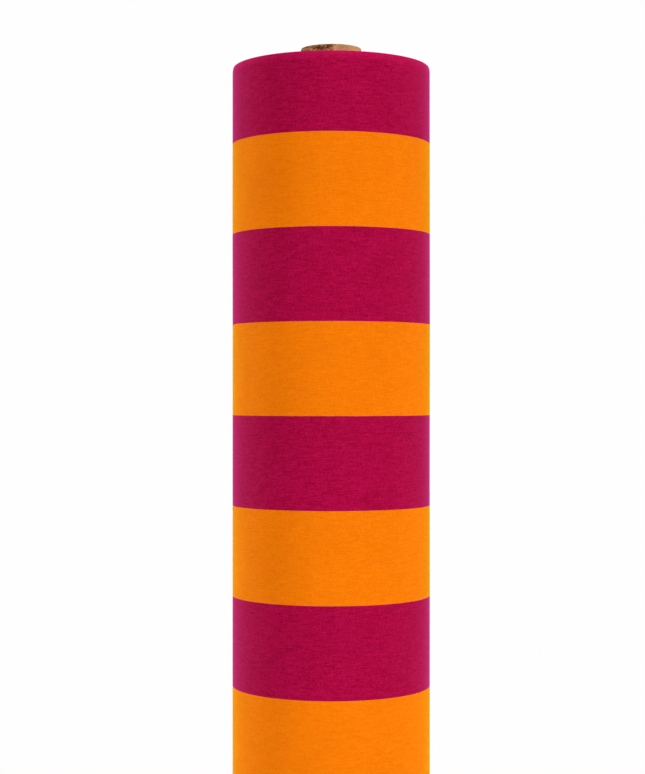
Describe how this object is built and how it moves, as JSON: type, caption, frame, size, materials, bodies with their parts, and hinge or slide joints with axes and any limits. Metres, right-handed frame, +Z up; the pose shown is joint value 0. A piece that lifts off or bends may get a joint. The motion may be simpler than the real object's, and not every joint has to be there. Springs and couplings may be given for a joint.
{
  "type": "roll of striped fabric",
  "caption": "Full-width roll of striped cotton canvas on a cardboard core, standing on end, with a taped tail that lifts off the roll.",
  "frame": {"origin": "centre of the core's lower end, on the floor that the roll stands on", "axes": "+Z up along the roll's axis to the end where the core stands proud, -Y to the front, +Y to the back where the cloth's tail lies"},
  "size_m": [0.1966, 0.197, 1.523],
  "materials": {
    "crimson_canvas": "plain weave, matt",
    "orange_canvas": "plain weave, matt",
    "kraft_cardboard": "spiral wound, unbleached",
    "masking_tape": "creped paper",
    "paper_tape": "smooth paper"
  },
  "bodies": {
    "roll": {"core_tube": "kraft_cardboard", "start_tape": "masking_tape", "wound_cloth": "crimson_canvas", "outer_wrap_crimson": "crimson_canvas", "outer_wrap_orange": "orange_canvas"},
    "tail_inner": {"tail_inner_crimson": "crimson_canvas", "tail_inner_orange": "orange_canvas"},
    "tail_middle": {"tail_middle_crimson": "crimson_canvas", "tail_middle_orange": "orange_canvas"},
    "tail_end": {"tail_end_crimson": "crimson_canvas", "tail_end_orange": "orange_canvas", "tape_tab_lower": "paper_tape", "tape_tab_middle": "paper_tape", "tape_tab_upper": "paper_tape"}
  },
  "joints": [
    {"name": "tail_lift", "type": "hinge", "parent": "roll", "child": "tail_inner", "pos_m": [0.07328, 0.06657, 0], "axis": [0, 0, -1], "range_deg": [0, 30]},
    {"name": "tail_curl_middle", "type": "hinge", "parent": "tail_inner", "child": "tail_middle", "pos_m": [0.02715, 0.0952, 0], "axis": [0, 0, -1], "range_deg": [0, 30]},
    {"name": "tail_curl_end", "type": "hinge", "parent": "tail_middle", "child": "tail_end", "pos_m": [-0.02715, 0.0952, 0], "axis": [0, 0, -1], "range_deg": [0, 30]}
  ],
  "couplings": [
    {"joint": "tail_curl_middle", "follows": "tail_lift", "ratio": 1},
    {"joint": "tail_curl_end", "follows": "tail_lift", "ratio": 1}
  ]
}
